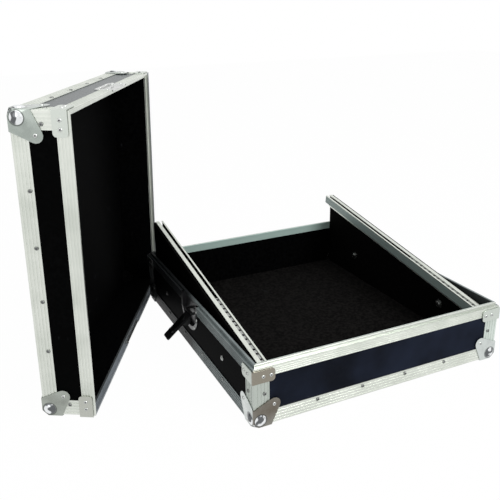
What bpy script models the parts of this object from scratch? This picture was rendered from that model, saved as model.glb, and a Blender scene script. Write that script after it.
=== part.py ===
# Mixer flight case: a plywood tray with two sloping 19 inch rack rails, and its lift-off lid.
# The lid stands open beside the tray on its left wall. X runs to the right, Y to the back, Z up.
# The origin is the middle of the underside of the tray's bottom panel. Lengths are in metres.
import math

import bmesh
import bpy
from mathutils import Matrix, Vector

# Case. The spacing of the rack holes for 19 inch equipment sets its width.
RACK_HOLE_SPACING = 0.4651
RAIL_MARGIN = 0.03245
CASE_DEPTH = 0.595
BASE_HEIGHT = 0.112
LID_HEIGHT = 0.092
PANEL_THICKNESS = 0.007
FIT_GAP = 0.0003
CUT_THROUGH = 0.05
CORNER_STEPS = 4
SHARP_ANGLE = math.radians(35.0)

# Edge extrusions
EXTRUSION_WALL = 0.0012
EDGE_LEG = 0.027
CORNER_LEG = 0.030
ARRIS_FLAT = 0.001
GROOVE_DEPTH = 0.0004
GROOVE_DEEPENING = 0.00002
EDGE_RIBS = {"count": 3, "width": 0.0026, "land": 0.0045, "tip": 0.0025}
RIM_RIBS = {"count": 3, "width": 0.0020, "land": 0.0025, "tip": 0.0015}

# Closing rims: the tray carries a tongue, and the lid a groove that the tongue enters
RIM_THICKNESS = 0.010
TONGUE_HEIGHT = 0.006
TONGUE_SETBACK = 0.0043
TONGUE_CHAMFER = 0.0008
TONGUE_CLEARANCE = 0.0008
LIP_CLEARANCE = 0.0004
BASE_RIM_LEG = 0.018
BASE_RIM_INNER_LEG = 0.012
LID_RIM_LEG = 0.022
LID_RIM_INNER_LEG = 0.010

# Ball corners
BALL_RADIUS = 0.0175
BALL_PROTRUSION = 0.0055
BALL_SEGMENTS = 14
CORNER_PLATE = 0.0012
CORNER_REACH = 0.033
TAB_CENTRE = 0.0380
TAB_RADIUS = 0.0120
TAB_STEPS = 6
BALL_CLEARANCE = 0.0005

# Corner braces at the closing line
BRACE_PLATE = 0.0018
BRACE_REACH = 0.040
BRACE_HEIGHT = 0.024
BRACE_CORNER = 0.006
BRACE_SETBACK = 0.0035
BRACE_SEAT_MARGIN = 0.0015

# Rack boards, which slope from below the closing line to above it, and their rails
BOARD_THICKNESS = 0.009
BOARD_END_CLEARANCE = 0.0025
BOARD_FRONT_DROP = 0.011
BOARD_REAR_RISE = 0.0805
SPACER_RADIUS = 0.008
SPACER_HEIGHT = 0.063
SPACER_OFFSET = 0.1605
RAIL_WALL = 0.0016
RAIL_LIP = 0.0020
RAIL_SEAT = 0.004
RAIL_OUTER_LIP = 0.008
RAIL_SLOT = 0.0065
RAIL_INNER_LIP = 0.0035
RAIL_CHANNEL_DEPTH = 0.0176
RAIL_LEG_DEPTH = 0.030
RAIL_FRONT_MARGIN = 0.002
RAIL_REAR_MARGIN = 0.001
STRIP_WIDTH = 0.0096
STRIP_THICKNESS = 0.0025
STRIP_BITE = 0.00005
STRIP_UNITS = 5
RACK_UNIT = 0.04445
HOLE_PITCHES = (0.00635, 0.015875, 0.015875)
HOLE_RADIUS = 0.0025
HOLE_SIDES = 6

# Raised middle of the tray's underside, inside the edge extrusions and the corner tabs
STEP_HEIGHT = 0.0001
STEP_CLEARANCE = 0.004

# Latches on the left and right walls
LATCH_PLACE = 0.0105
DISH_HALF_WIDTH = 0.046
DISH_DROP = 0.067
DISH_SHOULDER = 0.034
DISH_FLANGE = 0.007
DISH_SHEET = 0.0010
DISH_WALL = 0.0012
DISH_LAP = 0.0002
DISH_STEPS = 10
ARM_HALF_WIDTH = 0.0138
ARM_PLATE = 0.0016
ARM_LENGTH = 0.072
ARM_CORNER = 0.004
ARM_SWING = math.radians(130.5)
PIVOT_DROP = 0.028
PIVOT_DEPTH = 0.0005
PIN_RADIUS = 0.00125
BARREL_RADIUS = 0.003
EAR_THICKNESS = 0.002
EAR_RADIUS = 0.0026
EAR_CLEARANCE = 0.0004
ROUND_STEPS = 16
HOOK_HALF_WIDTH = 0.009
HOOK_PLATE = 0.0015
HOOK_TRAVEL = 0.004
HOOK_TAIL = 0.0034
CLAW_LENGTH = 0.0035
CLAW_BACKLASH = 0.001
GUIDE_WIDTH = 0.0019
GUIDE_HEIGHT = 0.0016
GUIDE_START = 0.012
GUIDE_END = 0.034
KEY_PLACE = 0.020
KEY_RADIUS = 0.009
KEY_PLATE = 0.0016
KEY_BEVEL = 0.0008
KEY_SHAFT_RADIUS = 0.0032
KEY_HEAD_RADIUS = 0.005
KEY_HEAD_PLATE = 0.0008
KEY_STEPS = 18
WING_THICKNESS = 0.0012
WING_OFFSET = 0.0018
WING_NECK = 0.0023
WING_LENGTH = 0.0120
WING_HALF_WIDTH = 0.0098
WING_BARREL_RADIUS = 0.0011
WING_BARREL_HALF = 0.0061
WING_PIN_RADIUS = 0.00055
WING_STEPS = 8
WING_PIN_STEPS = 6
LUG_THICKNESS = 0.0016
LUG_MARGIN = 0.0014
LUG_SINK = 0.0004

# Catches on the lid's left and right walls
CATCH_HALF_WIDTH = 0.056
CATCH_REACH = 0.035
CATCH_FLANGE = 0.008
CATCH_BOTTOM_FLANGE = 0.0065
CATCH_CORNER = 0.008
CATCH_DEPTH = 0.0027
RIDGE_START = 0.014
RIDGE_LENGTH = 0.005
RIDGE_HALF_WIDTH = 0.012

# Where the lid stands, measured from the tray's rear left corner
LID_YAW = math.radians(27.569)
LID_CLEARANCE = 0.004
LID_ALONG = 0.4938
BRACE_RIVET_HEAD = 0.00135

# Sizes that follow from the ones above
CASE_WIDTH = RACK_HOLE_SPACING + 2 * RAIL_MARGIN
PANEL_INSET = EXTRUSION_WALL + FIT_GAP
PANEL_INNER = PANEL_INSET + PANEL_THICKNESS
HALF_WIDTH = CASE_WIDTH / 2
HALF_DEPTH = CASE_DEPTH / 2
BALL_INSET = BALL_RADIUS - BALL_PROTRUSION
BALL_CUT_RADIUS = BALL_RADIUS + BALL_CLEARANCE
BALL_REACH = BALL_INSET + math.sqrt(BALL_CUT_RADIUS**2 - (BALL_INSET - EXTRUSION_WALL) ** 2)
EDGE_END = max(EDGE_LEG, BALL_REACH) + FIT_GAP
STEP_MARGIN = EDGE_LEG + STEP_CLEARANCE
STEP_CORNER = 2 * TAB_CENTRE + math.sqrt(2) * TAB_RADIUS + STEP_CLEARANCE - STEP_MARGIN
PLATE_FACE = FIT_GAP + CORNER_PLATE
BRACE_FACE = FIT_GAP + BRACE_PLATE
SLOT_OUTER_EDGE = RAIL_MARGIN - RAIL_SLOT / 2
BOARD_SETBACK = SLOT_OUTER_EDGE - RAIL_OUTER_LIP + RAIL_SEAT - BOARD_THICKNESS
BOARD_FRONT_HEIGHT = BASE_HEIGHT - BOARD_FRONT_DROP
BOARD_REAR_HEIGHT = BASE_HEIGHT + BOARD_REAR_RISE
DISH_FACE = PANEL_INSET - FIT_GAP - DISH_SHEET
DISH_BACK = PANEL_INNER - FIT_GAP

# Outlines are filled at a thousand times their size, and then welded and scaled back
OUTLINE_SCALE = 1000.0
MERGE_DISTANCE = 1e-6
FLAT_ANGLE = 1e-3

# Walls and corners by name, with their turn about the upright axis
WALL_TURNS = {"front": 0.0, "right": 90.0, "rear": 180.0, "left": 270.0}
CORNER_TURNS = {"front_left": 0.0, "front_right": 90.0, "rear_right": 180.0, "rear_left": 270.0}
LATCH_SIDES = ("left", "right")

# The lid is built as a tray too, turned over about X, so its front and rear trade names
TURNED_NAMES = {
    "front": "rear",
    "rear": "front",
    "left": "left",
    "right": "right",
    "front_left": "rear_left",
    "front_right": "rear_right",
    "rear_left": "front_left",
    "rear_right": "front_right",
}

# Colour, roughness and metallic value of each finish
FINISHES = {
    "laminate": ((0.012, 0.012, 0.014), 0.35, 0.0),
    "aluminium": ((0.72, 0.74, 0.70), 0.32, 1.0),
    "chrome": ((0.78, 0.79, 0.80), 0.12, 1.0),
    "zinc": ((0.62, 0.63, 0.62), 0.35, 1.0),
    "black_steel": ((0.02, 0.02, 0.022), 0.4, 0.4),
    "board": ((0.015, 0.014, 0.013), 0.6, 0.0),
}

CYCLE_X = Matrix(((0, 0, 1, 0), (1, 0, 0, 0), (0, 1, 0, 0), (0, 0, 0, 1)))
CYCLE_Y = CYCLE_X @ CYCLE_X


def clear_scene():
    for item in list(bpy.data.objects):
        bpy.data.objects.remove(item, do_unlink=True)


def new_collection(name):
    collection = bpy.data.collections.new(name)
    bpy.context.scene.collection.children.link(collection)
    return collection


def frame(origin, x_axis, y_axis):
    x_axis = Vector(x_axis)
    y_axis = Vector(y_axis)
    placed = Matrix((x_axis, y_axis, x_axis.cross(y_axis))).transposed().to_4x4()
    placed.translation = Vector(origin)
    return placed


def mesh_from(shape, name):
    mesh = bpy.data.meshes.new(name)
    bmesh.ops.recalc_face_normals(shape, faces=shape.faces)
    shape.to_mesh(mesh)
    shape.free()
    return mesh


def extruded(name, outlines, near, far, place=None):
    """A flat outline, or several with holes, filled and extruded from near to far along its normal."""
    curve = bpy.data.curves.new(name, "CURVE")
    curve.dimensions = "2D"
    curve.fill_mode = "BOTH"
    curve.extrude = (far - near) / 2 * OUTLINE_SCALE
    for outline in outlines:
        spline = curve.splines.new("POLY")
        spline.points.add(len(outline) - 1)
        for point, (across, up) in zip(spline.points, outline):
            point.co = (across * OUTLINE_SCALE, up * OUTLINE_SCALE, 0.0, 1.0)
        spline.use_cyclic_u = True
    drawing = bpy.data.objects.new(name, curve)
    cutters.objects.link(drawing)
    graph = bpy.context.evaluated_depsgraph_get()
    filled = bpy.data.meshes.new_from_object(drawing.evaluated_get(graph))
    shape = bmesh.new()
    shape.from_mesh(filled)
    bpy.data.objects.remove(drawing, do_unlink=True)
    bpy.data.curves.remove(curve)
    bpy.data.meshes.remove(filled)
    bmesh.ops.remove_doubles(shape, verts=shape.verts, dist=MERGE_DISTANCE * OUTLINE_SCALE)
    bmesh.ops.dissolve_limit(shape, angle_limit=FLAT_ANGLE, verts=shape.verts, edges=shape.edges)
    shape.transform(Matrix.Translation((0, 0, (near + far) / 2)) @ Matrix.Scale(1 / OUTLINE_SCALE, 4))
    if place is not None:
        shape.transform(place)
    return mesh_from(shape, name)


def box(name, low, high):
    size = [b - a for a, b in zip(low, high)]
    middle = [(a + b) / 2 for a, b in zip(low, high)]
    shape = bmesh.new()
    bmesh.ops.create_cube(shape, size=1.0, matrix=Matrix.Translation(middle) @ Matrix.Diagonal((*size, 1.0)))
    return mesh_from(shape, name)


def cylinder(name, radius, start, end, steps=ROUND_STEPS):
    start = Vector(start)
    end = Vector(end)
    length = (end - start).length
    turn = Vector((0, 0, 1)).rotation_difference(end - start).to_matrix().to_4x4()
    shape = bmesh.new()
    bmesh.ops.create_cone(
        shape,
        cap_ends=True,
        segments=steps,
        radius1=radius,
        radius2=radius,
        depth=length,
        matrix=Matrix.Translation((start + end) / 2) @ turn,
    )
    return mesh_from(shape, name)


def arc(centre, radius, start, end, steps):
    points = []
    for index in range(steps + 1):
        angle = start + (end - start) * index / steps
        points.append((centre[0] + radius * math.cos(angle), centre[1] + radius * math.sin(angle)))
    return points


def make_material(name, finish):
    colour, roughness, metallic = FINISHES[finish]
    material = bpy.data.materials.new(name)
    material.use_nodes = True
    shader = material.node_tree.nodes["Principled BSDF"]
    shader.inputs["Base Color"].default_value = (*colour, 1.0)
    shader.inputs["Roughness"].default_value = roughness
    shader.inputs["Metallic"].default_value = metallic
    material.diffuse_color = (*colour, 1.0)
    return material


def add_piece(name, mesh, finish, parent, place=None, smooth=False):
    if mesh.users:
        mesh = mesh.copy()
    piece = bpy.data.objects.new(name, mesh)
    parts.objects.link(piece)
    piece.parent = parent
    piece.matrix_local = place if place is not None else Matrix()
    mesh.name = name
    mesh.materials.clear()
    mesh.materials.append(make_material(name, finish))
    if smooth:
        mesh.shade_smooth()
        mesh.set_sharp_from_angle(angle=SHARP_ANGLE)
    return piece


def add_boolean(piece, mesh, operation):
    """Joins or cuts the piece with a mesh given in the piece's own axes."""
    tool = bpy.data.objects.new(mesh.name, mesh)
    cutters.objects.link(tool)
    tool.parent = piece
    tool.hide_render = True
    tool.display_type = "WIRE"
    modifier = piece.modifiers.new(mesh.name, "BOOLEAN")
    modifier.operation = operation
    modifier.object = tool


def combined(name, mesh, steps):
    """The mesh after a list of (operation, other mesh) steps, ready for several objects to share."""
    work = bpy.data.objects.new(name, mesh)
    cutters.objects.link(work)
    for operation, other in steps:
        add_boolean(work, other, operation)
    graph = bpy.context.evaluated_depsgraph_get()
    result = bpy.data.meshes.new_from_object(work.evaluated_get(graph))
    for tool in list(work.children):
        bpy.data.objects.remove(tool, do_unlink=True)
    bpy.data.objects.remove(work, do_unlink=True)
    result.name = name
    return result


def wall_frame(side, level=0.0):
    """Axes of a wall: along it, up, and outwards, from the middle of its outer face."""
    turn = Matrix.Rotation(math.radians(WALL_TURNS[side]), 4, "Z")
    reach = HALF_DEPTH if side in ("front", "rear") else HALF_WIDTH
    return turn @ frame((0, -reach, level), (1, 0, 0), (0, 0, 1))


def profile_frame(side, level=0.0):
    """Axes of an extrusion's section on a wall: inwards, up, and along the wall."""
    turn = Matrix.Rotation(math.radians(WALL_TURNS[side]), 4, "Z")
    reach = HALF_DEPTH if side in ("front", "rear") else HALF_WIDTH
    return turn @ frame((0, -reach, level), (0, 1, 0), (0, 0, 1))


def corner_frame(corner):
    """Axes of an upright corner: inwards along its two walls, and up, from the outer arris."""
    turn = Matrix.Rotation(math.radians(CORNER_TURNS[corner]), 4, "Z")
    across = HALF_WIDTH if corner in ("front_left", "rear_right") else HALF_DEPTH
    back = HALF_DEPTH if corner in ("front_left", "rear_right") else HALF_WIDTH
    return turn @ Matrix.Translation((-across, -back, 0))


def half_length(side):
    return HALF_WIDTH if side in ("front", "rear") else HALF_DEPTH


def grooved_leg(length, ribs):
    """Outer side of a leg from its arris: (distance, depth) at its grooves, deeper to the tip."""
    grooves = ribs["count"] + 1
    groove = (length - ribs["land"] - ribs["tip"] - ribs["count"] * ribs["width"]) / grooves
    points = []
    place = ribs["land"]
    for index in range(grooves):
        depth = GROOVE_DEPTH + GROOVE_DEEPENING * index**2
        points += [(place, 0.0), (place, depth), (place + groove, depth), (place + groove, 0.0)]
        place += groove + ribs["width"]
    return points


def edge_outline(leg):
    """Angle section with its arris at the origin and one leg along each axis."""
    grooves = grooved_leg(leg, EDGE_RIBS)
    outline = [(ARRIS_FLAT, 0.0)] + grooves
    outline += [(leg, 0.0), (leg, EXTRUSION_WALL), (EXTRUSION_WALL, EXTRUSION_WALL)]
    outline += [(EXTRUSION_WALL, leg), (0.0, leg)]
    outline += [(depth, distance) for distance, depth in reversed(grooves)]
    outline += [(0.0, ARRIS_FLAT)]
    return outline


def base_rim_outline():
    """Section of the tray's rim: inwards from the outer face, and up from the closing line."""
    wall = EXTRUSION_WALL
    inner = RIM_THICKNESS - wall
    tongue_wall = TONGUE_SETBACK + wall
    outline = [(0.0, 0.0)]
    outline += [(depth, -distance) for distance, depth in grooved_leg(BASE_RIM_LEG, RIM_RIBS)]
    outline += [(0.0, -BASE_RIM_LEG), (wall, -BASE_RIM_LEG), (wall, -wall), (tongue_wall, -wall)]
    outline += [(tongue_wall, TONGUE_HEIGHT - wall), (inner, TONGUE_HEIGHT - wall)]
    outline += [(inner, -BASE_RIM_INNER_LEG), (RIM_THICKNESS, -BASE_RIM_INNER_LEG)]
    outline += [(RIM_THICKNESS, TONGUE_HEIGHT - TONGUE_CHAMFER)]
    outline += [(RIM_THICKNESS - TONGUE_CHAMFER, TONGUE_HEIGHT)]
    outline += [(TONGUE_SETBACK + TONGUE_CHAMFER, TONGUE_HEIGHT)]
    outline += [(TONGUE_SETBACK, TONGUE_HEIGHT - TONGUE_CHAMFER), (TONGUE_SETBACK, 0.0)]
    return outline


def lid_rim_outline():
    """Section of the lid's rim, with a groove for the tongue behind its outer lip."""
    wall = EXTRUSION_WALL
    inner = RIM_THICKNESS - wall
    lip = TONGUE_SETBACK - LIP_CLEARANCE
    groove = -(TONGUE_HEIGHT + TONGUE_CLEARANCE)
    outline = [(0.0, 0.0)]
    outline += [(depth, -distance) for distance, depth in grooved_leg(LID_RIM_LEG, RIM_RIBS)]
    outline += [(0.0, -LID_RIM_LEG), (wall, -LID_RIM_LEG), (wall, groove - wall)]
    outline += [(inner, groove - wall), (inner, -LID_RIM_INNER_LEG)]
    outline += [(RIM_THICKNESS, -LID_RIM_INNER_LEG), (RIM_THICKNESS, groove), (lip, groove), (lip, 0.0)]
    return outline


# What differs between the tray and the lid. A panel stops below its rim's web.
SHELLS = {
    "base": {
        "height": BASE_HEIGHT,
        "floor": "base_bottom_panel",
        "edge": "bottom",
        "rim": base_rim_outline(),
        "rim_leg": BASE_RIM_LEG,
        "panel_top": BASE_HEIGHT - EXTRUSION_WALL - FIT_GAP,
    },
    "lid": {
        "height": LID_HEIGHT,
        "floor": "lid_top_panel",
        "edge": "top",
        "rim": lid_rim_outline(),
        "rim_leg": LID_RIM_LEG,
        "panel_top": LID_HEIGHT - TONGUE_HEIGHT - TONGUE_CLEARANCE - EXTRUSION_WALL - FIT_GAP,
    },
}


def floor_outline():
    """Bottom panel with its four corners cut round for the balls."""
    start = math.asin((PANEL_INSET - BALL_INSET) / BALL_CUT_RADIUS)
    notch = arc((BALL_INSET, BALL_INSET), BALL_CUT_RADIUS, math.pi / 2 - start, start, TAB_STEPS)
    outline = []
    for turn_x, turn_y in ((1, 1), (-1, 1), (-1, -1), (1, -1)):
        points = [(turn_x * (x - HALF_WIDTH), turn_y * (y - HALF_DEPTH)) for x, y in notch]
        outline += points if turn_x == turn_y else reversed(points)
    return outline


def step_outline():
    """Raised middle of the underside, with its corners cut off inside the corner tabs."""
    wide, deep = HALF_WIDTH - STEP_MARGIN, HALF_DEPTH - STEP_MARGIN
    narrow, short = HALF_WIDTH - STEP_CORNER, HALF_DEPTH - STEP_CORNER
    outline = [(narrow, -deep), (wide, -short), (wide, short), (narrow, deep)]
    return outline + [(-x, -y) for x, y in outline]


def wall_outline(side, top):
    """Upright panel that stands on the bottom panel, with its lower corners cut round."""
    bottom = PANEL_INNER + FIT_GAP
    inset = bottom if side in ("front", "rear") else PANEL_INSET
    half = half_length(side)
    low = math.asin((bottom - BALL_INSET) / BALL_CUT_RADIUS)
    high = math.pi / 2 - math.asin((inset - BALL_INSET) / BALL_CUT_RADIUS)
    lower_left = arc((BALL_INSET - half, BALL_INSET), BALL_CUT_RADIUS, high, low, TAB_STEPS)
    lower_right = [(-x, z) for x, z in reversed(lower_left)]
    return lower_left + lower_right + [(half - inset, top), (inset - half, top)]


def make_panels(prefix, shell, datum, named):
    panels = {}
    rebate = PANEL_INSET + STEP_HEIGHT
    floor = extruded(shell["floor"], [floor_outline()], rebate, PANEL_INNER)
    step = extruded("step", [step_outline()], PANEL_INSET, PANEL_INSET + PANEL_THICKNESS / 2)
    add_boolean(add_piece(shell["floor"], floor, "laminate", datum), step, "UNION")
    for side in WALL_TURNS:
        name = f"{prefix}_{named(side)}_panel"
        outline = wall_outline(side, shell["panel_top"])
        mesh = extruded(name, [outline], -PANEL_INNER, -PANEL_INSET)
        panels[side] = add_piece(name, mesh, "laminate", datum, wall_frame(side))
    return panels


def make_edges(prefix, shell, datum, named):
    for side in WALL_TURNS:
        name = f"{prefix}_{shell['edge']}_edge_{named(side)}"
        reach = half_length(side) - EDGE_END
        mesh = extruded(name, [edge_outline(EDGE_LEG)], -reach, reach)
        add_piece(name, mesh, "aluminium", datum, profile_frame(side))


def brace_leg(low):
    """Outline of one leg of a corner brace: (reach along the wall, height)."""
    end = BRACE_REACH - BRACE_CORNER
    top = low + BRACE_HEIGHT
    outline = [(-BRACE_FACE, low)]
    outline += arc((end, low + BRACE_CORNER), BRACE_CORNER, -math.pi / 2, 0.0, CORNER_STEPS)
    outline += arc((end, top - BRACE_CORNER), BRACE_CORNER, 0.0, math.pi / 2, CORNER_STEPS)
    outline += [(-BRACE_FACE, top)]
    return outline


def make_corner_edges(prefix, shell, datum, named):
    """Upright corner angles. Each carries the brace that laps over the rims that meet there."""
    edge_top = shell["height"] - shell["rim_leg"] - FIT_GAP
    brace_low = shell["height"] - BRACE_SETBACK - BRACE_HEIGHT
    leg = brace_leg(brace_low)
    seat_out = -FIT_GAP - BRACE_PLATE / 2
    seat_in = EXTRUSION_WALL - GROOVE_DEPTH
    seat_end = CORNER_LEG - BRACE_SEAT_MARGIN
    seat = [(seat_out, seat_out), (seat_end, seat_out), (seat_end, seat_in)]
    seat += [(seat_in, seat_in), (seat_in, seat_end), (seat_out, seat_end)]
    right_leg = extruded("brace_leg", [leg], -BRACE_FACE, -FIT_GAP, CYCLE_X)
    left_outline = [(height, reach) for reach, height in leg]
    left_leg = extruded("brace_leg", [left_outline], -BRACE_FACE, -FIT_GAP, CYCLE_Y)
    seat_low = brace_low + BRACE_SEAT_MARGIN
    seat_top = edge_top - FIT_GAP
    brace_seat = extruded("brace_seat", [seat], seat_low, seat_top)
    angle = extruded("corner_angle", [edge_outline(CORNER_LEG)], EDGE_END, edge_top)
    steps = [("UNION", brace_seat), ("UNION", right_leg), ("UNION", left_leg)]
    mesh = combined(f"{prefix}_corner_edge", angle, steps)
    for corner in CORNER_TURNS:
        name = f"{prefix}_corner_edge_{named(corner)}"
        add_piece(name, mesh, "aluminium", datum, corner_frame(corner))


def make_rims(prefix, shell, datum, named):
    """Closing rims, mitred where they meet: each end leans back by its distance inwards."""
    rims = {}
    for side in WALL_TURNS:
        name = f"{prefix}_rim_{named(side)}"
        reach = half_length(side) - FIT_GAP
        mesh = extruded(name, [shell["rim"]], -reach, reach)
        for vertex in mesh.vertices:
            vertex.co.z -= math.copysign(vertex.co.x, vertex.co.z)
        rims[side] = add_piece(name, mesh, "aluminium", datum, profile_frame(side, shell["height"]))
    return rims


def tab_outline():
    """One face of a ball corner: the angle round the arris, tapering to a round riveted tab."""
    centre = Vector((TAB_CENTRE, TAB_CENTRE))
    foot = Vector((CORNER_REACH, -PLATE_FACE))
    span = foot - centre
    start = math.atan2(span.y, span.x) + math.acos(TAB_RADIUS / span.length)
    outline = [(-PLATE_FACE, -PLATE_FACE), (foot.x, foot.y)]
    outline += arc(centre, TAB_RADIUS, start, math.pi / 2 - start, TAB_STEPS)
    outline += [(foot.y, foot.x)]
    return outline


def ball_corner_mesh():
    """Pressed corner in corner axes: three tabs joined round a ball that bulges past every face."""
    outline = tab_outline()
    tabs = [
        extruded("corner_tab", [outline], -PLATE_FACE, -FIT_GAP, turn)
        for turn in (Matrix(), CYCLE_X, CYCLE_Y)
    ]
    ball = bmesh.new()
    centre = Vector((BALL_INSET, BALL_INSET, BALL_INSET))
    bmesh.ops.create_uvsphere(
        ball,
        u_segments=BALL_SEGMENTS,
        v_segments=BALL_SEGMENTS // 2,
        radius=BALL_RADIUS,
        matrix=Matrix.Translation(centre),
    )
    ball_mesh = mesh_from(ball, "ball")
    far = 2 * TAB_CENTRE
    diagonal = Vector((0, 0, 1)).rotation_difference(Vector((1, 1, 1))).to_matrix().to_4x4()
    tip = box("ball_tip", (-far, -far, -far), (far, far, centre.length - BALL_RADIUS))
    tip.transform(diagonal)
    inside = box("inside", (PANEL_INNER,) * 3, (far,) * 3)
    steps = [("UNION", tabs[1]), ("UNION", tabs[2]), ("DIFFERENCE", tip)]
    steps += [("UNION", ball_mesh), ("DIFFERENCE", inside)]
    return combined("ball_corner", tabs[0], steps)


def make_ball_corners(prefix, datum, named, mesh):
    for corner in CORNER_TURNS:
        name = f"{prefix}_ball_corner_{named(corner)}"
        add_piece(name, mesh, "chrome", datum, corner_frame(corner), smooth=True)


def make_shell(prefix, datum, named, ball_mesh):
    shell = SHELLS[prefix]
    panels = make_panels(prefix, shell, datum, named)
    make_edges(prefix, shell, datum, named)
    make_corner_edges(prefix, shell, datum, named)
    rims = make_rims(prefix, shell, datum, named)
    make_ball_corners(prefix, datum, named, ball_mesh)
    return panels, rims


def along_sign(side):
    """Plus one where a side wall's own axis runs to the back, minus one where it runs to the front."""
    return 1.0 if side == "right" else -1.0


def make_rack(datum):
    """Sloping boards along both sides, each with an aluminium rack rail on its top edge."""
    front = -HALF_DEPTH + RIM_THICKNESS + BOARD_END_CLEARANCE
    rear = -front
    slope = math.atan2(BOARD_REAR_HEIGHT - BOARD_FRONT_HEIGHT, rear - front)
    foot = PANEL_INNER + FIT_GAP
    for side in LATCH_SIDES:
        sign = along_sign(side)
        corners = [(front, foot), (rear, foot), (rear, BOARD_REAR_HEIGHT), (front, BOARD_FRONT_HEIGHT)]
        outline = [(sign * y, z) for y, z in corners]
        inner_face = -BOARD_SETBACK - BOARD_THICKNESS
        name = f"rack_board_{side}"
        mesh = extruded(name, [outline], inner_face, -BOARD_SETBACK)
        board = add_piece(name, mesh, "board", datum, wall_frame(side))
        for y in (-SPACER_OFFSET, SPACER_OFFSET):
            start = (y, SPACER_HEIGHT, -BOARD_SETBACK - FIT_GAP)
            end = (y, SPACER_HEIGHT, -PANEL_INNER - FIT_GAP)
            add_boolean(board, cylinder("board_spacer", SPACER_RADIUS, start, end), "UNION")
        make_rail(side, datum, sign, front, rear, slope)


def rail_outline():
    """Rail section: inwards from the case side, and square to the board's sloping top edge."""
    face = BOARD_SETBACK + BOARD_THICKNESS + FIT_GAP
    outer = face - FIT_GAP - RAIL_SEAT
    slot_out = outer + RAIL_OUTER_LIP
    slot_in = slot_out + RAIL_SLOT
    inner = slot_in + RAIL_INNER_LIP
    low = FIT_GAP
    top = low + RAIL_WALL
    under = top - RAIL_LIP
    leg = face + RAIL_WALL
    floor = top - RAIL_CHANNEL_DEPTH
    outline = [(outer, low), (outer, top), (slot_out, top), (slot_out, under), (leg, under)]
    outline += [(leg, floor), (inner - RAIL_WALL, floor), (inner - RAIL_WALL, under), (slot_in, under)]
    outline += [(slot_in, top), (inner, top), (inner, floor - RAIL_WALL), (leg, floor - RAIL_WALL)]
    outline += [(leg, -RAIL_LEG_DEPTH), (face, -RAIL_LEG_DEPTH), (face, low)]
    return outline, (slot_out + slot_in) / 2


def strip_outlines(middle, start, sign):
    """Threaded strip in the rail's slot: its outline, and its holes at the rack pitch."""
    end = start + STRIP_UNITS * RACK_UNIT
    low = middle - STRIP_WIDTH / 2
    high = middle + STRIP_WIDTH / 2
    outlines = [[(low, sign * start), (high, sign * start), (high, sign * end), (low, sign * end)]]
    for unit in range(STRIP_UNITS):
        place = start + unit * RACK_UNIT
        for pitch in HOLE_PITCHES:
            place += pitch
            hole = arc((middle, sign * place), HOLE_RADIUS, 0.0, 2 * math.pi, HOLE_SIDES)
            outlines.append(hole[:-1])
    return outlines


def make_rail(side, datum, sign, front, rear, slope):
    outline, middle = rail_outline()
    length = (rear - front) / math.cos(slope) - RAIL_REAR_MARGIN
    turn = Matrix.Rotation(sign * slope, 4, "X")
    reach = HALF_WIDTH
    across = (-sign, 0, 0)
    place = Matrix.Translation((sign * reach, front, BOARD_FRONT_HEIGHT))
    place = place @ Matrix.Rotation(slope, 4, "X") @ frame((0, 0, 0), across, (0, 0, 1))
    near, far = sorted((sign * RAIL_FRONT_MARGIN, sign * length))
    name = f"rack_rail_{side}"
    rail = add_piece(name, extruded(name, [outline], near, far), "aluminium", datum, place)
    lay_down = frame((0, 0, 0), (1, 0, 0), (0, 0, 1))
    outlines = strip_outlines(middle, RAIL_FRONT_MARGIN + FIT_GAP, sign)
    top = FIT_GAP + RAIL_WALL - RAIL_LIP + STRIP_BITE
    strip = extruded("thread_strip", outlines, -top, STRIP_THICKNESS - top, lay_down)
    add_boolean(rail, strip, "UNION")


def dish_outline(inset, place, top, level):
    """Latch dish in wall axes: straight sides that run into one round bottom."""
    half = DISH_HALF_WIDTH - inset
    sag = DISH_DROP - inset - DISH_SHOULDER
    radius = (half * half + sag * sag) / (2 * sag)
    centre = (place, level - DISH_DROP + inset + radius)
    spread = math.asin(half / radius)
    outline = [(place - half, top)]
    outline += arc(centre, radius, -math.pi / 2 - spread, -math.pi / 2 + spread, DISH_STEPS)
    outline += [(place + half, top)]
    return outline


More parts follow.
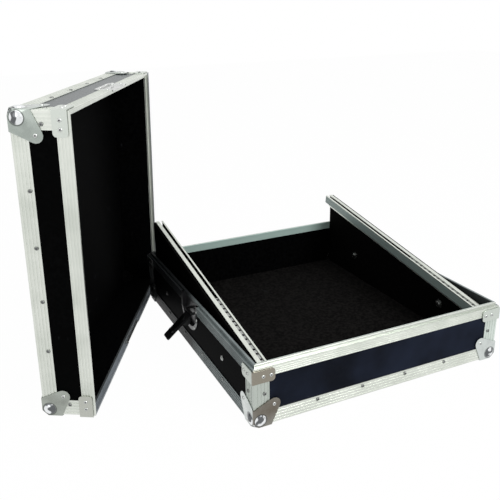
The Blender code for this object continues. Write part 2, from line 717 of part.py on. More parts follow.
def make_dish(side, datum, panel, rim):
    """Pressed dish let into the tray's side wall, open at the closing line, with the hinge ears."""
    level = BASE_HEIGHT
    place = along_sign(side) * LATCH_PLACE
    above = level + TONGUE_HEIGHT
    flange = dish_outline(0.0, place, level, level)
    pan = dish_outline(DISH_FLANGE, place, level, level)
    hollow = dish_outline(DISH_FLANGE + DISH_WALL, place, above, level)
    name = f"{side}_latch_dish"
    mesh = extruded(name, [flange], -DISH_FACE - DISH_SHEET, -DISH_FACE)
    dish = add_piece(name, mesh, "zinc", datum, wall_frame(side))
    add_boolean(dish, extruded("dish_pan", [pan], -DISH_BACK, -DISH_FACE - DISH_LAP), "UNION")
    add_boolean(dish, extruded("dish_hollow", [hollow], -DISH_BACK + DISH_SHEET, above), "DIFFERENCE")
    pivot = level - PIVOT_DROP
    ear_near = ARM_HALF_WIDTH + EAR_CLEARANCE
    ear_back = -DISH_BACK + DISH_SHEET / 2
    ear = arc((pivot, -PIVOT_DEPTH), EAR_RADIUS, 0.0, math.pi, ROUND_STEPS // 2)
    ear = [(pivot + EAR_RADIUS, ear_back)] + ear + [(pivot - EAR_RADIUS, ear_back)]
    for turn in (-1, 1):
        low, high = sorted((place + turn * ear_near, place + turn * (ear_near + EAR_THICKNESS)))
        add_boolean(dish, extruded("ear", [ear], low, high, CYCLE_X), "UNION")
    pin_half = ear_near + EAR_THICKNESS / 2
    pin_start = (place - pin_half, pivot, -PIVOT_DEPTH)
    pin_end = (place + pin_half, pivot, -PIVOT_DEPTH)
    add_boolean(dish, cylinder("hinge_pin", PIN_RADIUS, pin_start, pin_end), "UNION")
    opening = dish_outline(DISH_FLANGE - FIT_GAP, place, above, level)
    add_boolean(panel, extruded("dish_opening", [opening], -CUT_THROUGH, CUT_THROUGH), "DIFFERENCE")
    half = DISH_HALF_WIDTH + FIT_GAP
    low = (-CUT_THROUGH, -DISH_DROP, place - half)
    cut = box("rim_notch", low, (PANEL_INNER, FIT_GAP, place + half))
    add_boolean(rim, cut, "DIFFERENCE")


def make_arm(side, datum):
    """Hook arm, swung out and down from its upright closed place on the hinge pin."""
    name = f"{side}_latch_arm"
    face = wall_frame(side, BASE_HEIGHT)
    latch_axes = frame((0, 0, 0), (0, 0, 1), (1, 0, 0))
    pivot = Matrix.Translation((along_sign(side) * LATCH_PLACE, -PIVOT_DROP, -PIVOT_DEPTH))
    place = face @ pivot @ latch_axes @ Matrix.Rotation(ARM_SWING, 4, "Y")
    half = ARM_HALF_WIDTH
    outer = BARREL_RADIUS
    inner = outer - ARM_PLATE
    corner = ARM_CORNER
    plate = [(-half, 0.0), (half, 0.0)]
    plate += arc((half - corner, ARM_LENGTH - corner), corner, 0.0, math.pi / 2, CORNER_STEPS)
    plate += arc((corner - half, ARM_LENGTH - corner), corner, math.pi / 2, math.pi, CORNER_STEPS)
    shaft_hole = arc((0.0, KEY_PLACE), KEY_SHAFT_RADIUS + FIT_GAP, 0.0, 2 * math.pi, ROUND_STEPS)[:-1]
    mesh = extruded(name, [plate, shaft_hole], inner, outer, CYCLE_X)
    arm = add_piece(name, mesh, "black_steel", datum, place)
    barrel = cylinder("barrel", BARREL_RADIUS, (0, -half, 0), (0, half, 0))
    add_boolean(arm, barrel, "UNION")
    bore = cylinder("bore", PIN_RADIUS + FIT_GAP, (0, -2 * half, 0), (0, 2 * half, 0))
    add_boolean(arm, bore, "DIFFERENCE")
    guide_near = HOOK_HALF_WIDTH + FIT_GAP
    for turn in (-1, 1):
        low, high = sorted((turn * guide_near, turn * (guide_near + GUIDE_WIDTH)))
        guide_low = (inner - GUIDE_HEIGHT, low, GUIDE_START)
        guide = box("guide", guide_low, (inner + ARM_PLATE / 2, high, GUIDE_END))
        add_boolean(arm, guide, "UNION")
    return arm


def make_hook(side, arm):
    """Hook plate that slides under the arm, drawn back by the key. It rests run out to its stop."""
    outer = BARREL_RADIUS - ARM_PLATE - FIT_GAP
    inner = outer - HOOK_PLATE
    half = HOOK_HALF_WIDTH
    slot = KEY_SHAFT_RADIUS + FIT_GAP
    start = KEY_PLACE - HOOK_TRAVEL - slot - HOOK_TAIL
    claw_start = PIVOT_DROP + RIDGE_START + RIDGE_LENGTH + CLAW_BACKLASH
    claw_end = claw_start + CLAW_LENGTH
    plate = [(-half, start), (half, start), (half, claw_end), (-half, claw_end)]
    run = arc((0.0, KEY_PLACE), slot, 0.0, math.pi, ROUND_STEPS // 2)
    run += arc((0.0, KEY_PLACE - HOOK_TRAVEL), slot, math.pi, 2 * math.pi, ROUND_STEPS // 2)
    name = f"{side}_latch_hook"
    mesh = extruded(name, [plate, run], inner, outer, CYCLE_X)
    place = Matrix.Translation((0, 0, HOOK_TRAVEL))
    hook = add_piece(name, mesh, "zinc", arm, place)
    claw_depth = PIVOT_DEPTH - DISH_FACE - CATCH_DEPTH + FIT_GAP
    claw = box("claw", (claw_depth, -half, claw_start), (inner + HOOK_PLATE / 2, half, claw_end))
    add_boolean(hook, claw, "UNION")


def make_key(side, arm):
    """Turning key: a disc outside the arm, a shaft through it, and a head under the hook plate."""
    name = f"{side}_latch_key"
    low = BARREL_RADIUS + FIT_GAP
    top = low + KEY_PLATE
    under = BARREL_RADIUS - ARM_PLATE - FIT_GAP - HOOK_PLATE - FIT_GAP
    bottom = under - KEY_HEAD_PLATE
    profile = [(0.0, top), (KEY_RADIUS - KEY_BEVEL, top), (KEY_RADIUS, top - KEY_BEVEL)]
    profile += [(KEY_RADIUS, low), (KEY_SHAFT_RADIUS, low), (KEY_SHAFT_RADIUS, under)]
    profile += [(KEY_HEAD_RADIUS, under), (KEY_HEAD_RADIUS, bottom), (0.0, bottom)]
    mesh = bpy.data.meshes.new(name)
    points = [(radius, 0.0, height) for radius, height in profile]
    mesh.from_pydata(points, [(i, i + 1) for i in range(len(points) - 1)], [])
    place = Matrix.Translation((0, 0, KEY_PLACE)) @ Matrix.Rotation(math.pi / 2, 4, "Y")
    key = add_piece(name, mesh, "zinc", arm, place)
    turned = key.modifiers.new("turned", "SCREW")
    turned.steps = KEY_STEPS
    turned.render_steps = KEY_STEPS
    turned.use_merge_vertices = True
    turned.merge_threshold = MERGE_DISTANCE
    turned.use_smooth_shade = False
    axis = top + FIT_GAP + WING_BARREL_RADIUS
    lug_near = WING_BARREL_HALF + FIT_GAP
    lug_half = WING_OFFSET + LUG_MARGIN
    lug_top = axis + WING_BARREL_RADIUS
    for turn in (-1, 1):
        low_x, high_x = sorted((turn * lug_near, turn * (lug_near + LUG_THICKNESS)))
        lug = box("lug", (low_x, -lug_half, top - LUG_SINK), (high_x, lug_half, lug_top))
        add_boolean(key, lug, "UNION")
    reach = lug_near + 2 * LUG_THICKNESS
    for offset in (-WING_OFFSET, WING_OFFSET):
        start = (-reach, offset, axis)
        end = (reach, offset, axis)
        hole = cylinder("pin_hole", WING_PIN_RADIUS + FIT_GAP, start, end, WING_PIN_STEPS)
        add_boolean(key, hole, "DIFFERENCE")
    return key, axis


def make_wings(side, key, axis):
    """Two folding wings that hang square to the key's disc, each on its own hinge line."""
    outline = [(0.0, -WING_BARREL_HALF), (WING_NECK, -WING_BARREL_HALF)]
    for index in range(WING_STEPS + 1):
        angle = -math.pi / 2 + math.pi * index / WING_STEPS
        outline.append((WING_NECK + WING_LENGTH * math.cos(angle), WING_HALF_WIDTH * math.sin(angle)))
    outline += [(WING_NECK, WING_BARREL_HALF), (0.0, WING_BARREL_HALF)]
    plate = extruded("wing", [outline], -WING_THICKNESS / 2, WING_THICKNESS / 2)
    half = WING_BARREL_HALF
    pin_half = half + FIT_GAP + LUG_THICKNESS
    barrel = cylinder("wing_barrel", WING_BARREL_RADIUS, (0, -half, 0), (0, half, 0), WING_STEPS)
    pin = cylinder("wing_pin", WING_PIN_RADIUS, (0, -pin_half, 0), (0, pin_half, 0), WING_PIN_STEPS)
    mesh = combined("wing", plate, [("UNION", barrel), ("UNION", pin)])
    for end, offset in (("a", -WING_OFFSET), ("b", WING_OFFSET)):
        place = frame((0, offset, axis), (0, 0, 1), (-1, 0, 0))
        add_piece(f"{side}_latch_wing_{end}", mesh, "zinc", key, place)


def catch_outline(inset, end_inset, place, start):
    """Lid catch in wall axes of the turned-over lid, from its closing line down the wall."""
    half = CATCH_HALF_WIDTH - inset
    end = LID_HEIGHT - CATCH_REACH + end_inset
    corner = CATCH_CORNER - inset / 2
    outline = [(place + half, start), (place - half, start)]
    left = (place - half + corner, end + corner)
    right = (place + half - corner, end + corner)
    outline += arc(left, corner, math.pi, 1.5 * math.pi, CORNER_STEPS)
    outline += arc(right, corner, 1.5 * math.pi, 2 * math.pi, CORNER_STEPS)
    return outline


def make_catch(side, datum, panel, rim):
    """Shallow pressed dish on the lid's side wall with the ridge that the hook's claw draws on."""
    place = -along_sign(side) * LATCH_PLACE
    level = LID_HEIGHT
    above = level + TONGUE_HEIGHT
    floor = DISH_FACE + CATCH_DEPTH
    back = floor + DISH_SHEET
    pan_inset = CATCH_FLANGE
    end_inset = CATCH_BOTTOM_FLANGE
    flange = catch_outline(0.0, 0.0, place, level)
    pan = catch_outline(pan_inset, end_inset, place, level)
    hollow = catch_outline(pan_inset + DISH_WALL, end_inset + DISH_WALL, place, above)
    name = f"lid_catch_{side}"
    mesh = extruded(name, [flange], -DISH_FACE - DISH_SHEET, -DISH_FACE)
    catch = add_piece(name, mesh, "zinc", datum, wall_frame(side))
    add_boolean(catch, extruded("catch_pan", [pan], -back, -DISH_FACE - DISH_LAP), "UNION")
    add_boolean(catch, extruded("catch_hollow", [hollow], -floor, above), "DIFFERENCE")
    ridge_end = level - RIDGE_START
    ridge_low = (place - RIDGE_HALF_WIDTH, ridge_end - RIDGE_LENGTH, -floor - DISH_SHEET / 2)
    ridge_top = -PIVOT_DEPTH + BARREL_RADIUS - ARM_PLATE - FIT_GAP - HOOK_PLATE - FIT_GAP
    ridge_high = (place + RIDGE_HALF_WIDTH, ridge_end, ridge_top)
    add_boolean(catch, box("ridge", ridge_low, ridge_high), "UNION")
    recess = catch_outline(pan_inset - FIT_GAP, end_inset - FIT_GAP, place, above)
    add_boolean(panel, extruded("catch_recess", [recess], -back - FIT_GAP, CUT_THROUGH), "DIFFERENCE")
    half = CATCH_HALF_WIDTH + FIT_GAP
    low = (-CUT_THROUGH, -CATCH_REACH, place - half)
    cut = box("rim_notch", low, (back + FIT_GAP, TONGUE_HEIGHT, place + half))
    add_boolean(rim, cut, "DIFFERENCE")


def make_latch(side, datum, panel, rim):
    make_dish(side, datum, panel, rim)
    arm = make_arm(side, datum)
    make_hook(side, arm)
    key, axis = make_key(side, arm)
    make_wings(side, key, axis)


def lid_stand():
    """Place of the open lid. It stands on two ball corners and on the rivets of two rim braces."""
    brace_middle = BRACE_SETBACK + BRACE_HEIGHT / 2
    support = BRACE_FACE + BRACE_RIVET_HEAD
    rise = BALL_INSET + support
    run = LID_HEIGHT - BALL_INSET - brace_middle
    tilt = math.atan2(run, rise) - math.acos(BALL_RADIUS / math.hypot(run, rise))
    along = Vector((math.sin(LID_YAW), math.cos(LID_YAW), 0.0))
    level_away = Vector((-math.cos(LID_YAW), math.sin(LID_YAW), 0.0))
    up = Vector((0.0, 0.0, math.cos(tilt))) - level_away * math.sin(tilt)
    away = level_away * math.cos(tilt) + Vector((0.0, 0.0, math.sin(tilt)))
    corner = Vector((-HALF_WIDTH, HALF_DEPTH, 0.0)) + level_away * LID_CLEARANCE - along * LID_ALONG
    floor = -BALL_PROTRUSION
    corner.z = floor + support * math.cos(tilt) - brace_middle * math.sin(tilt)
    middle = corner + up * HALF_WIDTH + along * HALF_DEPTH + away * LID_HEIGHT
    return Matrix.Translation((0, 0, -PANEL_INSET)) @ frame(middle, up, -along)


def new_datum(name, place):
    datum = bpy.data.objects.new(name, None)
    parts.objects.link(datum)
    datum.matrix_world = place
    return datum


clear_scene()
parts = new_collection("mixer_flight_case")
cutters = new_collection("cutters")
base_datum = new_datum("base_datum", Matrix.Translation((0, 0, -PANEL_INSET)))
lid_datum = new_datum("lid_datum", lid_stand())
ball_corner = ball_corner_mesh()
base_panels, base_rims = make_shell("base", base_datum, lambda name: name, ball_corner)
lid_panels, lid_rims = make_shell("lid", lid_datum, lambda name: TURNED_NAMES[name], ball_corner)
make_rack(base_datum)
for latch_side in LATCH_SIDES:
    make_latch(latch_side, base_datum, base_panels[latch_side], base_rims[latch_side])
    make_catch(latch_side, lid_datum, lid_panels[latch_side], lid_rims[latch_side])
print("pieces:", sum(1 for item in parts.objects if item.type == "MESH"))
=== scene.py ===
import math

import bpy
from mathutils import Matrix, Vector


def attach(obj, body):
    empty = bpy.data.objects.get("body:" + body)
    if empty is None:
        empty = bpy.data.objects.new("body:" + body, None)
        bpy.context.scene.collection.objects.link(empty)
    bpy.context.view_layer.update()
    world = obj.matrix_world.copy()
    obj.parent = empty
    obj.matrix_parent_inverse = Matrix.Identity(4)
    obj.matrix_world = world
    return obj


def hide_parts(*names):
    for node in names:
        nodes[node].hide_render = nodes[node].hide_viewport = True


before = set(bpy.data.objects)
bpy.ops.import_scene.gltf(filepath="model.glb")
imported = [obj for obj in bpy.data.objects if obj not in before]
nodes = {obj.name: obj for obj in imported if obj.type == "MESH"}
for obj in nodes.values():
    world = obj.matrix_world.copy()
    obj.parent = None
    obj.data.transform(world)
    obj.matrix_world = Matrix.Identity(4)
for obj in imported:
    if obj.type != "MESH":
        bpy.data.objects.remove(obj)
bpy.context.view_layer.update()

# Tray and lid share one set of axes of their own: X and Y across the box, Z up from its big panel.
case = {"halfWidth": 0.265, "halfDepth": 0.2975, "trayHeight": 0.112, "lidHeight": 0.092, "ballInset": 0.0120,
        "panelOuter": 0.0015, "panelInner": 0.0085, "plateFace": 0.0015, "braceFace": 0.0021}
lidStand = {"yaw": 27.569, "tilt": 1.8283, "middle": (-0.433414, 0.163985, 0.263754)}
floorLevel = -0.0070
weldDistance = 0.000002

yaw = math.radians(lidStand["yaw"])
tilt = math.radians(lidStand["tilt"])
along = Vector((math.sin(yaw), math.cos(yaw), 0.0))
levelAway = Vector((-math.cos(yaw), math.sin(yaw), 0.0))
lidUp = Vector((0.0, 0.0, math.cos(tilt))) - levelAway * math.sin(tilt)
lidOpen = -(levelAway * math.cos(tilt) + Vector((0.0, 0.0, math.sin(tilt))))
trayPlace = Matrix.Translation((0.0, 0.0, -case["panelOuter"]))
lidPlace = Matrix((lidUp, -along, lidOpen)).transposed().to_4x4()
lidPlace.translation = Vector(lidStand["middle"])

wallTurns = {"front": 0, "right": 90, "rear": 180, "left": 270}
wallsAlongX = ("front", "rear")
cornerTurns = {"front_left": 0, "front_right": 90, "rear_right": 180, "rear_left": 270}
# The lid is the same kind of tray turned over, so its front and rear walls trade places.
lidNames = {"front_left": "rear_left", "front_right": "rear_right",
            "rear_right": "front_right", "rear_left": "front_left"}


def axesAt(origin, xAxis, yAxis):
    xAxis, yAxis = Vector(xAxis), Vector(yAxis)
    axes = Matrix((xAxis, yAxis, xAxis.cross(yAxis))).transposed().to_4x4()
    axes.translation = Vector(origin)
    return axes


def wallAxes(side):
    # along the wall, up, and outwards, from the middle of the lower edge of its outer face
    reach = case["halfDepth"] if side in wallsAlongX else case["halfWidth"]
    turn = Matrix.Rotation(math.radians(wallTurns[side]), 4, "Z")
    return turn @ axesAt((0, -reach, 0), (1, 0, 0), (0, 0, 1))


def cornerAxes(corner):
    # inwards along the two walls, and up, from the outer arris
    across, back = case["halfWidth"], case["halfDepth"]
    if corner in ("front_right", "rear_left"):
        across, back = back, across
    turn = Matrix.Rotation(math.radians(cornerTurns[corner]), 4, "Z")
    return turn @ Matrix.Translation((-across, -back, 0))


def halfLength(side):
    return case["halfWidth"] if side in wallsAlongX else case["halfDepth"]


class Wire:
    # A value inside a graph of nodes; sums and products of wires add Math nodes.
    def __init__(self, graph, socket):
        self.graph, self.socket = graph, socket

    def math(self, operation, *others, flip=False):
        values = [self, *others]
        if flip:
            values.reverse()
        return self.graph.node("ShaderNodeMath", {"operation": operation}, dict(enumerate(values)))

    def __add__(self, other):
        return self.math("ADD", other)

    def __radd__(self, other):
        return self.math("ADD", other)

    def __sub__(self, other):
        return self.math("SUBTRACT", other)

    def __rsub__(self, other):
        return self.math("SUBTRACT", other, flip=True)

    def __mul__(self, other):
        return self.math("MULTIPLY", other)

    def __rmul__(self, other):
        return self.math("MULTIPLY", other)

    def __abs__(self):
        return self.math("ABSOLUTE")

    def atMost(self, other):
        return self.math("MINIMUM", other)

    def atLeast(self, other):
        return self.math("MAXIMUM", other)

    def steps(self, low, high, start=0.0, end=1.0):
        # smooth change from start to end while the value goes from low to high
        return self.graph.node("ShaderNodeMapRange", {"interpolation_type": "SMOOTHSTEP", "clamp": True},
                               {"Value": self, "From Min": low, "From Max": high,
                                "To Min": start, "To Max": end})

    def between(self, rise, fall):
        # 1 from the end of the rise to the start of the fall, and 0 before and after them
        return self.steps(*rise) * self.steps(*fall, 1.0, 0.0)


class Graph:
    # The nodes of a material or of the world.
    def __init__(self, tree):
        self.tree = tree

    def node(self, kind, settings=None, values=None, output=0):
        made = self.tree.nodes.new(kind)
        for key, value in (settings or {}).items():
            setattr(made, key, value)
        for key, value in (values or {}).items():
            self.join(value, made.inputs[key])
        return Wire(self, made.outputs[output])

    def join(self, value, socket):
        if isinstance(value, Wire):
            self.tree.links.new(value.socket, socket)
        else:
            socket.default_value = value

    def directRays(self):
        # 1 for rays from the camera, off gloss and through glass, and 0 for those that light the scene
        paths = self.tree.nodes.new("ShaderNodeLightPath")
        camera, gloss, glass = (Wire(self, paths.outputs[f"Is {kind} Ray"])
                                for kind in ("Camera", "Glossy", "Transmission"))
        return camera.atLeast(gloss).atLeast(glass)


# Wear and painted shade that belong to one part of the box, in the axes of the tray or the lid.
zones = {"leftPart": (0.1, 0.2), "frontPart": (0.1, 0.2), "wallFace": (-0.0002, 0.0030),
         "trayWarmthAndShade": 0.9, "lidWarmthAndShade": 0.35, "share": 0.9,
         "lidShadowLeft": ((0.225, 0.235), (0.268, 0.270)), "lidShadowBack": (-0.035, 0.030), "lidShadow": 0.92,
         "lidShadowTone": (0.012, 0.012, 0.014), "lidShadowDull": 0.95}


class Finish(Graph):
    # A material on the tray or the lid, which keeps a slot name.
    def __init__(self, name, slotName, ofLid=False):
        self.material = bpy.data.materials.new(name)
        self.material.use_nodes = True
        super().__init__(self.material.node_tree)
        self.slotName, self.ofLid = slotName, ofLid
        self.shader = self.tree.nodes["Principled BSDF"]
        self.place = None

    def set(self, **values):
        for key, value in values.items():
            self.join(value, self.shader.inputs[key.replace("_", " ")])

    def coords(self):
        # Object coordinates in the axes of the tray or of the lid
        if self.place is None:
            turned = (lidPlace if self.ofLid else trayPlace).inverted()
            self.place = self.node("ShaderNodeMapping", {"vector_type": "POINT"}, {
                "Vector": self.node("ShaderNodeTexCoord", output="Object"),
                "Location": turned.to_translation(), "Rotation": turned.to_euler(), "Scale": (1, 1, 1)})
        return self.place

    def axes(self):
        split = self.tree.nodes.new("ShaderNodeSeparateXYZ")
        self.join(self.coords(), split.inputs[0])
        return [Wire(self, socket) for socket in split.outputs]

    def depth(self):
        # how far a point lies inside the nearest outer face of the box
        across, back, up = self.axes()
        return (case["halfWidth"] - abs(across)).atMost(case["halfDepth"] - abs(back)).atMost(up)

    def ballDistance(self):
        # distance from the middle of the nearest ball
        across, back, up = self.axes()
        inset = case["ballInset"]
        offsets = (case["halfWidth"] - abs(across) - inset, case["halfDepth"] - abs(back) - inset, up - inset)
        return sum(offset * offset for offset in offsets).math("SQRT")

    def warmthAndShade(self):
        # brownish plating at the tray's front left corner, and a trace of it on the lid's near wall, partly
        # the plating's own colour and partly painted shade
        across, back = self.axes()[:2]
        if self.ofLid:
            fromWall, most = case["halfDepth"] - back, zones["lidWarmthAndShade"]
        else:
            fromWall, most = back + case["halfDepth"], zones["trayWarmthAndShade"]
        return fromWall.steps(*zones["wallFace"], most, 0.0) * (0.0 - across).steps(*zones["leftPart"])

    def paintLidShadow(self, tone, metal):
        # painted shadow of the lid: the rear half of the tray's left side is blackened and loses its metal
        across, back = self.axes()[:2]
        lidShadow = (0.0 - across).between(*zones["lidShadowLeft"]) * back.steps(*zones["lidShadowBack"]) * zones["lidShadow"]
        return self.mix(lidShadow, tone, zones["lidShadowTone"]), metal * (1.0 - lidShadow * zones["lidShadowDull"])

    def noise(self, scale, detail=3.0, roughness=0.5, stretch=(1, 1, 1)):
        spread = self.node("ShaderNodeMapping", {"vector_type": "POINT"},
                           {"Vector": self.coords(), "Scale": stretch})
        return self.node("ShaderNodeTexNoise", {"noise_dimensions": "3D"},
                         {"Vector": spread, "Scale": scale, "Detail": detail, "Roughness": roughness})

    def mix(self, factor, first, second):
        made = self.tree.nodes.new("ShaderNodeMix")
        made.data_type = "RGBA"
        for value, index in ((factor, 0), (first, 6), (second, 7)):
            if not isinstance(value, Wire) and index:
                value = (*value, 1.0)
            self.join(value, made.inputs[index])
        return Wire(self, made.outputs[2])

    def bump(self, height, look):
        return self.node("ShaderNodeBump", {}, {
            "Height": height, "Strength": look["relief"], "Distance": look["reliefDepth"]})


print("laminate")
laminateLook = {
    "dark": (0.0005, 0.0005, 0.0006), "pale": (0.0020, 0.0021, 0.0022), "outer": (0.0100, 0.0140, 0.0265),
    "outerDepth": (0.0030, 0.0050), "mottle": 160, "mottleEdge": (0.35, 0.68), "grain": 900,
    "cloud": 7, "cloudEdge": (0.3, 0.7), "cloudShare": 0.75, "scuff": (0.030, 0.032, 0.035), "scuffs": 38,
    "scuffStretch": (1.0, 0.25, 3.5), "scuffEdge": (0.66, 0.76), "scuffShare": 0.35,
    "coarse": 0.62, "sheen": 0.01, "coat": 0.07, "coatCoarse": 0.24, "relief": 0.10, "reliefDepth": 0.0006}
# painted shade: the lid's laminate is darker outside than the tray's
lidLaminateLook = dict(laminateLook, outer=(0.0008, 0.0009, 0.0009), coat=0.01,
                       dustAndSheen=(0.072, 0.086, 0.090), dustAndSheenDepth=(0.0035, 0.0030), dustAndSheenCoat=0.6)
# painted shade: the tray's left and right panels are darker outside than its front and rear
sideLaminateLook = dict(laminateLook, outer=(0.0016, 0.0018, 0.0022), coat=0.015)
floorLaminateLook = dict(sideLaminateLook, dark=(0.0026, 0.0025, 0.0025), pale=(0.0100, 0.0094, 0.0090))
boardLook = dict(laminateLook, dark=(0.0014, 0.0014, 0.0014), pale=(0.0030, 0.0029, 0.0028))


def laminate(name, slotName, ofLid, look):
    # phenolic-faced plywood: fine mottle and faint long scuffs, glossy outside and matt inside
    made = Finish(name, slotName, ofLid)
    outer = made.depth().steps(*look["outerDepth"], 1.0, 0.0)
    mottle = made.noise(look["mottle"], 4.0, 0.6)
    scuffs = made.noise(look["scuffs"], 5.0, 0.65, look["scuffStretch"]).steps(*look["scuffEdge"])
    fine = made.noise(look["grain"], 2.0)
    cloud = made.noise(look["cloud"], 3.0, 0.6)
    tone = made.mix(mottle.steps(*look["mottleEdge"]), look["dark"], look["pale"])
    clouded = 1.0 - look["cloudShare"] + cloud.steps(*look["cloudEdge"]) * look["cloudShare"]
    tone = made.mix(outer * clouded, tone, look["outer"])
    gloss = outer * look["coat"]
    if "dustAndSheen" in look:
        # the wall that the open lid turns up gets a grey tone, partly dust and partly a painted reflection of
        # the sky, and a glossy coat
        upper = made.axes()[0].steps(*(case["halfWidth"] - depth for depth in look["dustAndSheenDepth"]))
        tone = made.mix(upper * (0.75 + cloud * 0.4), tone, look["dustAndSheen"])
        gloss = gloss.atLeast(upper * look["dustAndSheenCoat"])
    made.set(Base_Color=made.mix(scuffs * look["scuffShare"], tone, look["scuff"]),
             Roughness=look["coarse"] + mottle * 0.12 - scuffs * 0.05,
             Specular_IOR_Level=look["sheen"], Coat_Roughness=look["coatCoarse"],
             Coat_Weight=gloss * (1.0 - scuffs * 0.4),
             Normal=made.bump(fine * 0.6 + mottle * 0.4, look))
    return made


print("aluminium")
aluminiumLook = {
    "bright": (0.72, 0.745, 0.69), "dull": (0.61, 0.64, 0.585), "cloud": 14, "cloudEdge": (0.35, 0.70),
    "lines": 700, "lineEdge": (0.45, 0.75), "lineShare": 0.35,
    "wear": 90, "wearEdge": (0.60, 0.74), "wearShare": 0.10,
    "groove": (0.40, 0.43, 0.40), "hollow": 0.16,
    "grooveTop": (0.00012, 0.00034), "grooveFoot": (0.0009, 0.0012),
    "brace": (0.57, 0.61, 0.565), "warm": (0.205, 0.165, 0.122), "braceDepth": (-0.0003, -0.0001),
    "far": (0.16, 0.18, 0.195), "farBelow": (0.0016, 0.0010), "farWidth": (0.016, 0.020),
    "coarse": 0.27, "metal": 0.94, "sheen": 0.5, "relief": 0.03, "reliefDepth": 0.0004}
# The tray's side extrusions are a darker copy of the aluminium as painted shade, and less metal shows, so
# they also take the real shadow of the lid.
shadedSideLook = dict(aluminiumLook, bright=(0.25, 0.29, 0.29), dull=(0.17, 0.20, 0.20),
                groove=(0.09, 0.11, 0.11), hollow=0.35,
                inner=(0.02, 0.022, 0.022), innerDepth=(0.0084, 0.0092), metal=0.15, sheen=0.1)
# painted shade: the lid's left rim, lowest as the lid stands, is a darker copy of the side extrusions
shadedLowLook = dict(shadedSideLook, bright=(0.26, 0.285, 0.31), dull=(0.17, 0.19, 0.205), inner=(0.05, 0.055, 0.055))
uprightLook = dict(aluminiumLook, bright=(0.68, 0.75, 0.70), dull=(0.57, 0.63, 0.58),
                   paintedCornerShade=(0.46, 0.50, 0.46))
rimLook = dict(aluminiumLook, inner=(0.44, 0.60, 0.55), innerDepth=(0.0084, 0.0092),
               paintedTopShade=(0.50, 0.525, 0.485), paintedTopShadeHeight=(0.1112, 0.1118))
# The rail is seen by its distance below its sloping top and inwards from the wall.
railLook = dict(aluminiumLook, slope=(-0.158497, 0.987359), top=0.145314,
                hollowTone=(0.004, 0.004, 0.005), hollowBelow=((0.0021, 0.0024), (0.0184, 0.0187)),
                hollowInward=((0.0262, 0.0266), (0.0380, 0.0384)),
                strip=(0.32, 0.33, 0.32), stripBelow=(0.0012, 0.0015),
                stripInward=((0.0290, 0.0294), (0.0354, 0.0359)),
                leg=(0.25, 0.33, 0.315), legBelow=(0.0012, 0.0018), legInward=(0.0388, 0.0392))


def aluminium(name, slotName, ofLid, look):
    # anodised extrusion: drawn lines along its length, darker and rougher in the grooves between its ribs
    made = Finish(name, slotName, ofLid)
    drawn = made.noise(look["lines"], 2.0, 0.5, look["stretch"])
    cloud = made.noise(look["cloud"], 3.0, 0.55)
    wear = made.noise(look["wear"], 5.0, 0.7).steps(*look["wearEdge"])
    tone = made.mix(cloud.steps(*look["cloudEdge"]), look["bright"], look["dull"])
    worn = drawn.steps(*look["lineEdge"]) * look["lineShare"] + wear * look["wearShare"]
    tone = made.mix(worn, tone, look["dull"])
    rough = look["coarse"] + cloud * 0.10 + drawn * 0.08
    if "strip" in look:
        tone, rough, metal = railTones(made, look, tone, rough)
    else:
        tone, rough, metal = extrusionTones(made, look, tone, rough, cloud)
    made.set(Base_Color=tone, Roughness=rough, Metallic=metal, Specular_IOR_Level=look["sheen"],
             Normal=made.bump(drawn, look))
    return made


def railTones(made, look, tone, rough):
    # a duller strip and inner leg, and painted shade: black inside the channel below the threaded strip
    across, back, up = made.axes()
    inward = case["halfWidth"] - abs(across)
    below = look["top"] - (back * look["slope"][0] + (up - case["panelOuter"]) * look["slope"][1])
    strip = below.steps(*look["stripBelow"]) * inward.between(*look["stripInward"])
    leg = below.steps(*look["legBelow"]) * inward.steps(*look["legInward"])
    hollow = below.between(*look["hollowBelow"]) * inward.between(*look["hollowInward"])
    tone = made.mix(strip * 0.85, tone, look["strip"])
    tone = made.mix(leg * zones["share"], tone, look["leg"])
    # painted shade inside the channel
    tone = made.mix(hollow * 0.97, tone, look["hollowTone"])
    return tone, rough + hollow * 0.3, look["metal"] - leg * 0.7


def extrusionTones(made, look, tone, rough, cloud):
    # darker grooves, braces, duller inner faces, and painted shade on rim tops, front left uprights, the
    # lid's far rim and the tray's rear left side
    metal, depth = look["metal"], made.depth()
    hollow = depth.steps(*look["grooveTop"]) - depth.steps(*look["grooveFoot"])
    tone = made.mix(hollow * look["hollow"], tone, look["groove"])
    across, back, up = made.axes()
    # painted shade: the uprights at the tray's front left corner are darker
    if "paintedCornerShade" in look:
        paintedCornerShade = (0.0 - across).steps(*zones["leftPart"]) * (0.0 - back).steps(*zones["frontPart"])
        tone = made.mix(paintedCornerShade * zones["share"], tone, look["paintedCornerShade"])
    # painted shade: the top faces of the tray's front and rear rims are darker, against the light from above
    if "paintedTopShade" in look:
        tone = made.mix(up.steps(*look["paintedTopShadeHeight"]) * zones["share"], tone, look["paintedTopShade"])
    if "inner" in look:
        # less polished on the faces turned into the box
        inner = depth.steps(*look["innerDepth"])
        tone = made.mix(inner * zones["share"], tone, look["inner"])
        metal = (1.0 - inner * 0.75) * look["metal"]
    if made.ofLid:
        # painted shade: the open face of the far rim is darker and less metallic
        far = up.steps(*(case["lidHeight"] - drop for drop in look["farBelow"]))
        far = far * (case["halfDepth"] + back).steps(*look["farWidth"], 1.0, 0.0)
        tone = made.mix(far * zones["share"], tone, look["far"])
        metal = look["metal"] * (1.0 - far * 0.8)
    # partly painted shade: the braces darken and turn brown at the tray's front left corner
    brace = made.mix(made.warmthAndShade(), look["brace"], look["warm"])
    tone = made.mix(depth.steps(*look["braceDepth"], 1.0, 0.0) * (0.75 + cloud * 0.2), tone, brace)
    # painted shadow of the lid on the rear half of the tray's left side
    if not made.ofLid:
        tone, metal = made.paintLidShadow(tone, metal)
    return tone, rough + hollow * 0.08, metal


